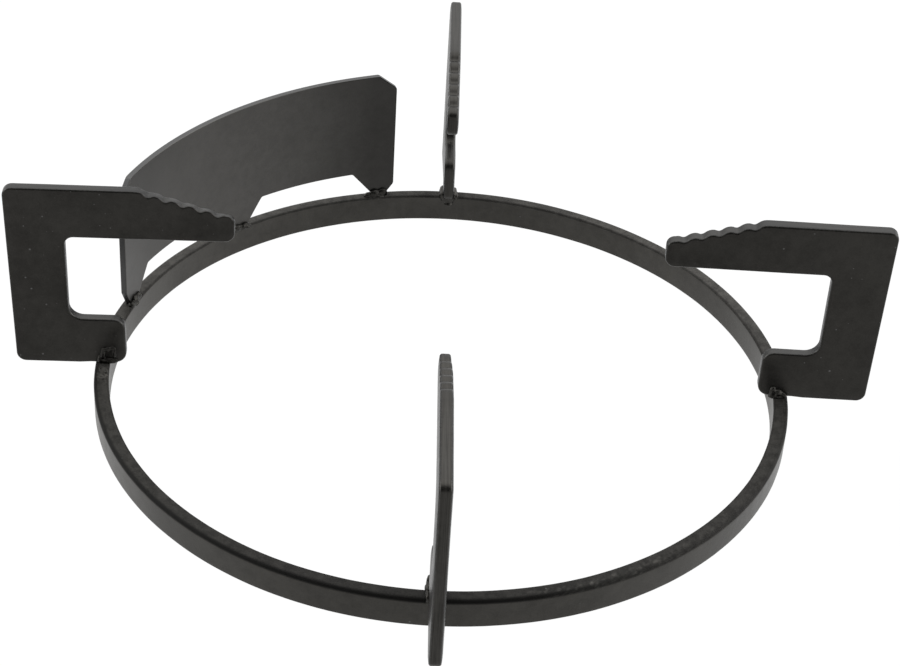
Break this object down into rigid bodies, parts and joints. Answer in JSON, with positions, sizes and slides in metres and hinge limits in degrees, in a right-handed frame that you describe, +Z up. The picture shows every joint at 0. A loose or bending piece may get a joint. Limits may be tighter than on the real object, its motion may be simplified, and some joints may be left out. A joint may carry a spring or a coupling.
{
  "type": "wok ring",
  "caption": "Coated steel wok ring: a flat bar hoop that stands on the hob, with upright plate arms whose stepped slopes cradle a round-bottomed wok, and a curved guard plate on one side.",
  "frame": {"origin": "centre of the ring, on the plane that its bottom face stands on", "axes": "+Z up, out of the ring; +Y towards the rear arm, with the front arm on -Y and the right arm on +X; the guard plate is between the rear arm and the left arm"},
  "size_m": [0.2702, 0.2744, 0.0729],
  "materials": {
    "coated_steel_arms": "satin charcoal coating on cut steel plate",
    "coated_steel_ring": "satin charcoal coating on rolled flat bar, rubbed at its top edge",
    "coated_steel_guard": "satin charcoal coating on bent sheet",
    "weld_metal": "glossy dark coating over rough weld metal"
  },
  "bodies": {
    "root": {"ring_bar": "coated_steel_ring", "arm_right": "coated_steel_arms", "arm_rear": "coated_steel_arms", "arm_left": "coated_steel_arms", "arm_front": "coated_steel_arms", "guard_plate": "coated_steel_guard", "weld_right_front": "weld_metal", "weld_right_back": "weld_metal", "weld_rear_left": "weld_metal", "weld_rear_right": "weld_metal", "weld_left_front": "weld_metal", "weld_left_back": "weld_metal", "weld_front_left": "weld_metal", "weld_front_right": "weld_metal", "weld_guard_right": "weld_metal", "weld_guard_middle": "weld_metal", "weld_guard_left": "weld_metal"}
  },
  "joints": []
}
